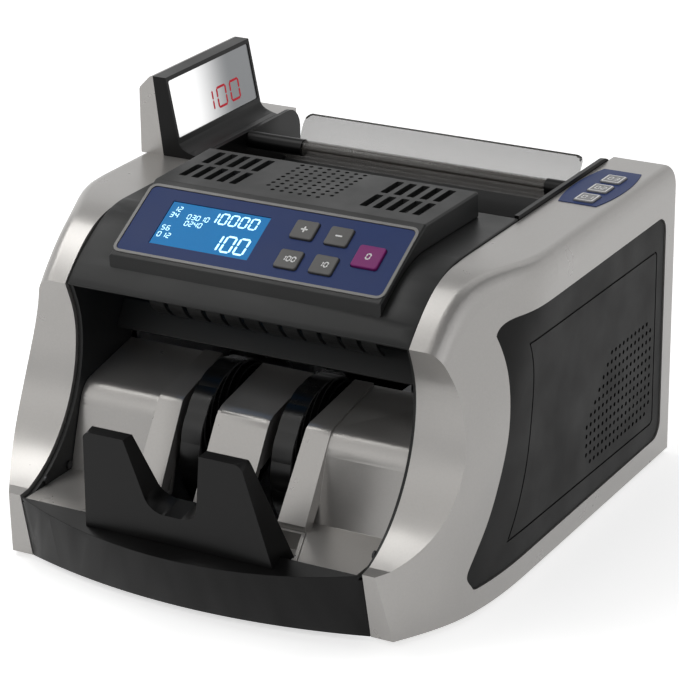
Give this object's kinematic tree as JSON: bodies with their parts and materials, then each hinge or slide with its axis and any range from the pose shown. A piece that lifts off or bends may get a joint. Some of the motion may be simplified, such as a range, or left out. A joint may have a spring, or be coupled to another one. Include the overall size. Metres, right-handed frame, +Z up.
{
  "type": "banknote counting machine",
  "caption": "Desktop banknote counter with a top hopper, sloped key panel, curved side shells, slotted stacker tray with note stop and a customer display.",
  "frame": {"origin": "on the desk, under the middle of the machine's bounding box", "axes": "+Z up, +X to the machine's right as its user sees it, -Y towards the user"},
  "size_m": [0.286, 0.3256, 0.2225],
  "materials": {
    "silver_paint": "satin metallic silver paint",
    "charcoal_plastic": "satin moulded",
    "black_plastic": "satin moulded",
    "side_panel_grey": "fine moulded texture",
    "panel_blue": "printed film",
    "lcd_glass": "lit blue",
    "key_grey": "satin",
    "key_magenta": "satin",
    "circuit_board": "solder mask",
    "display_glass": "glossy window",
    "smoked_sheet": "smoked clear plastic",
    "zinc_sheet": "zinc plated",
    "steel": "turned",
    "roller_rubber": "ribbed rubber",
    "wheel_plastic": "moulded",
    "belt_rubber": "smooth"
  },
  "bodies": {
    "machine": {"base_plate": "zinc_sheet", "control_housing": "charcoal_plastic", "cover_rod": "steel", "display_back_cover": "silver_paint", "display_bezel": "black_plastic", "display_board": "circuit_board", "display_window": "display_glass", "drive_belts": "belt_rubber", "exit_guide": "black_plastic", "feed_gate": "black_plastic", "feed_plate": "charcoal_plastic", "feet": "belt_rubber", "front_bumper": "black_plastic", "function_board": "circuit_board", "function_label": "panel_blue", "hood": "charcoal_plastic", "hopper_slope": "charcoal_plastic", "hopper_wall_left": "charcoal_plastic", "hopper_wall_right": "charcoal_plastic", "inner_wall_left": "charcoal_plastic", "inner_wall_right": "charcoal_plastic", "key_board": "circuit_board", "lcd_module": "lcd_glass", "left_shell": "silver_paint", "left_side_panel": "side_panel_grey", "main_board": "circuit_board", "main_motor": "steel", "note_stop": "black_plastic", "panel_label": "panel_blue", "power_inlet": "black_plastic", "power_supply": "zinc_sheet", "rear_cover": "black_plastic", "right_shell": "silver_paint", "right_side_panel": "side_panel_grey", "screws": "steel", "sensor_comb": "black_plastic", "side_frame_left": "zinc_sheet", "side_frame_right": "zinc_sheet", "stacker_centre": "silver_paint", "stacker_left": "silver_paint", "stacker_right": "silver_paint", "transport_plate": "zinc_sheet"},
    "plus_key": {"plus_key": "key_grey"},
    "minus_key": {"minus_key": "key_grey"},
    "batch_key": {"batch_key": "key_grey"},
    "add_key": {"add_key": "key_grey"},
    "reset_key": {"reset_key": "key_magenta"},
    "function_key_1": {"function_key_1": "key_grey"},
    "function_key_2": {"function_key_2": "key_grey"},
    "function_key_3": {"function_key_3": "key_grey"},
    "hopper_cover": {"hopper_cover": "smoked_sheet", "cover_caps": "black_plastic"},
    "feed_gap_knob": {"feed_gap_knob": "black_plastic"},
    "power_rocker": {"power_rocker": "black_plastic"},
    "pickup_rollers": {"pickup_rollers": "roller_rubber"},
    "feed_rollers": {"feed_rollers": "roller_rubber"},
    "counting_rollers": {"counting_rollers": "roller_rubber"},
    "pressure_rollers": {"pressure_rollers": "roller_rubber"},
    "stacking_wheels": {"stacking_wheels": "wheel_plastic"},
    "motor_pulley": {"motor_pulley": "steel"}
  },
  "joints": [
    {"name": "plus_key_press", "type": "slide", "parent": "machine", "child": "plus_key", "axis": [0, 0.4952, -0.8688], "range_m": [0, 0.0008], "stiffness_N_per_m": 600},
    {"name": "minus_key_press", "type": "slide", "parent": "machine", "child": "minus_key", "axis": [0, 0.4952, -0.8688], "range_m": [0, 0.0008], "stiffness_N_per_m": 600},
    {"name": "batch_key_press", "type": "slide", "parent": "machine", "child": "batch_key", "axis": [0, 0.4952, -0.8688], "range_m": [0, 0.0008], "stiffness_N_per_m": 600},
    {"name": "add_key_press", "type": "slide", "parent": "machine", "child": "add_key", "axis": [0, 0.4952, -0.8688], "range_m": [0, 0.0008], "stiffness_N_per_m": 600},
    {"name": "reset_key_press", "type": "slide", "parent": "machine", "child": "reset_key", "axis": [0, 0.4952, -0.8688], "range_m": [0, 0.0008], "stiffness_N_per_m": 600},
    {"name": "function_key_1_press", "type": "slide", "parent": "machine", "child": "function_key_1", "axis": [0, 0, -1], "range_m": [0, 0.0008], "stiffness_N_per_m": 600},
    {"name": "function_key_2_press", "type": "slide", "parent": "machine", "child": "function_key_2", "axis": [0, 0, -1], "range_m": [0, 0.0008], "stiffness_N_per_m": 600},
    {"name": "function_key_3_press", "type": "slide", "parent": "machine", "child": "function_key_3", "axis": [0, 0, -1], "range_m": [0, 0.0008], "stiffness_N_per_m": 600},
    {"name": "cover_hinge", "type": "hinge", "parent": "machine", "child": "hopper_cover", "pos_m": [0, 0.103, 0.1736], "axis": [1, 0, 0], "range_deg": [0, 100]},
    {"name": "knob_turn", "type": "hinge", "parent": "machine", "child": "feed_gap_knob", "pos_m": [0, 0.05675, 0.1646], "axis": [0, 0.564, 0.8258], "range_deg": [-150, 150]},
    {"name": "rocker_tilt", "type": "hinge", "parent": "machine", "child": "power_rocker", "pos_m": [0.076, 0.158, 0.03], "axis": [1, 0, 0], "range_deg": [-8, 8]},
    {"name": "counting_turn", "type": "hinge", "parent": "machine", "child": "counting_rollers", "pos_m": [0, 0.0092, 0.104], "axis": [1, 0, 0], "continuous": true},
    {"name": "feed_turn", "type": "hinge", "parent": "machine", "child": "feed_rollers", "pos_m": [0, 0.0612, 0.116], "axis": [1, 0, 0], "continuous": true},
    {"name": "pickup_turn", "type": "hinge", "parent": "machine", "child": "pickup_rollers", "pos_m": [0, 0.1039, 0.1226], "axis": [1, 0, 0], "continuous": true},
    {"name": "pressure_turn", "type": "hinge", "parent": "machine", "child": "pressure_rollers", "pos_m": [0, 0.0092, 0.1295], "axis": [1, 0, 0], "continuous": true},
    {"name": "stacking_turn", "type": "hinge", "parent": "machine", "child": "stacking_wheels", "pos_m": [0, -0.048, 0.058], "axis": [1, 0, 0], "continuous": true},
    {"name": "motor_turn", "type": "hinge", "parent": "machine", "child": "motor_pulley", "pos_m": [0, 0.0822, 0.052], "axis": [1, 0, 0], "continuous": true}
  ],
  "couplings": [
    {"joint": "motor_turn", "follows": "counting_turn", "ratio": 1.5556},
    {"joint": "feed_turn", "follows": "counting_turn", "ratio": 0.75},
    {"joint": "pickup_turn", "follows": "counting_turn", "ratio": 0.75},
    {"joint": "stacking_turn", "follows": "counting_turn", "ratio": 0.40909},
    {"joint": "pressure_turn", "follows": "counting_turn", "ratio": -2.5714}
  ]
}
